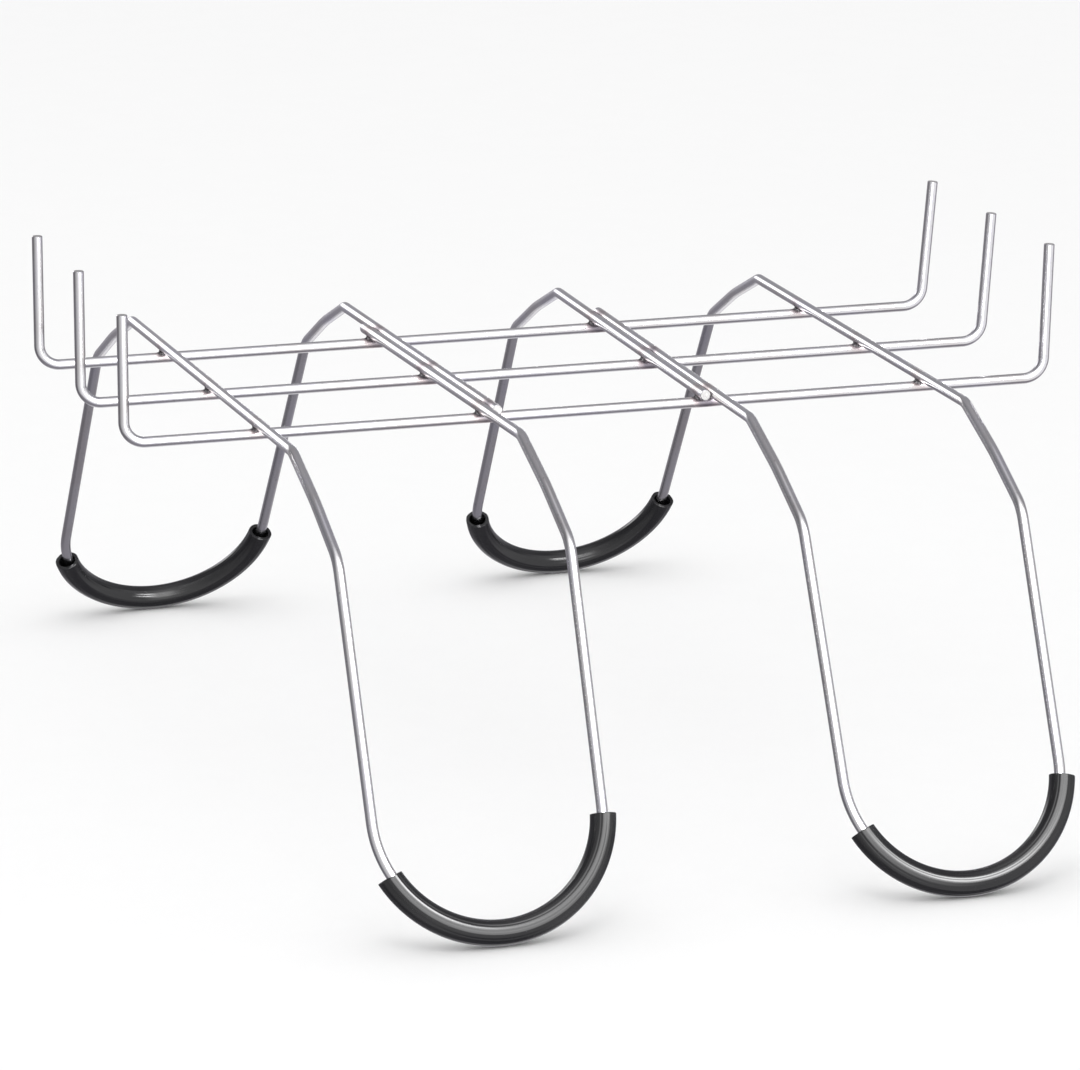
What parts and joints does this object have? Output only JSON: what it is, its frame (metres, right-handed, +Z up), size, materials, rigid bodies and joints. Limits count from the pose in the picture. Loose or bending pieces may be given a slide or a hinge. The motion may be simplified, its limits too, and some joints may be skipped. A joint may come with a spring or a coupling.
{
  "type": "wire saddle rack",
  "caption": "Welded steel wire rack: parallel rods with upturned ends lie under saddle-shaped wire hoops, whose U-shaped feet wear black plastic tube sleeves.",
  "frame": {"origin": "centre of the rack's footprint, at the height of its lowest foot, the front left one", "axes": "+X runs along the rods to the right, +Y runs to the back along the hoops, +Z points up"},
  "size_m": [0.545, 0.7544, 0.2997],
  "materials": {
    "bright_wire": "bright zinc-plated drawn steel wire",
    "weld_metal": "small plated weld fillets, darker than the wire",
    "black_tube": "glossy extruded soft PVC tube with faint lengthwise die lines"
  },
  "bodies": {
    "rack": {"back_rod": "bright_wire", "middle_rod": "bright_wire", "front_rod": "bright_wire", "left_hoop": "bright_wire", "right_hoop": "bright_wire", "left_outer_back_weld": "weld_metal", "left_outer_middle_weld": "weld_metal", "left_outer_front_weld": "weld_metal", "left_inner_back_weld": "weld_metal", "left_inner_middle_weld": "weld_metal", "left_inner_front_weld": "weld_metal", "right_outer_back_weld": "weld_metal", "right_outer_middle_weld": "weld_metal", "right_outer_front_weld": "weld_metal", "right_inner_back_weld": "weld_metal", "right_inner_middle_weld": "weld_metal", "right_inner_front_weld": "weld_metal"},
    "front_left_sleeve": {"front_left_sleeve": "black_tube"},
    "front_right_sleeve": {"front_right_sleeve": "black_tube"},
    "rear_left_sleeve": {"rear_left_sleeve": "black_tube"},
    "rear_right_sleeve": {"rear_right_sleeve": "black_tube"}
  },
  "joints": [
    {"name": "front_left_slide_round", "type": "hinge", "parent": "rack", "child": "front_left_sleeve", "pos_m": [-0.1329, -0.34296, 0.06431], "axis": [0, 0.9026, -0.4305], "range_deg": [-4, 27]},
    {"name": "front_right_slide_round", "type": "hinge", "parent": "rack", "child": "front_right_sleeve", "pos_m": [0.1264, -0.34231, 0.06566], "axis": [0, 0.9026, -0.4305], "range_deg": [-7, 27]},
    {"name": "rear_left_slide_round", "type": "hinge", "parent": "rack", "child": "rear_left_sleeve", "pos_m": [-0.13325, 0.33456, 0.06042], "axis": [0, 0.8202, 0.5721], "range_deg": [-8, 20]},
    {"name": "rear_right_slide_round", "type": "hinge", "parent": "rack", "child": "rear_right_sleeve", "pos_m": [0.12675, 0.33347, 0.06199], "axis": [0, 0.8202, 0.5721], "range_deg": [-8, 13]}
  ]
}
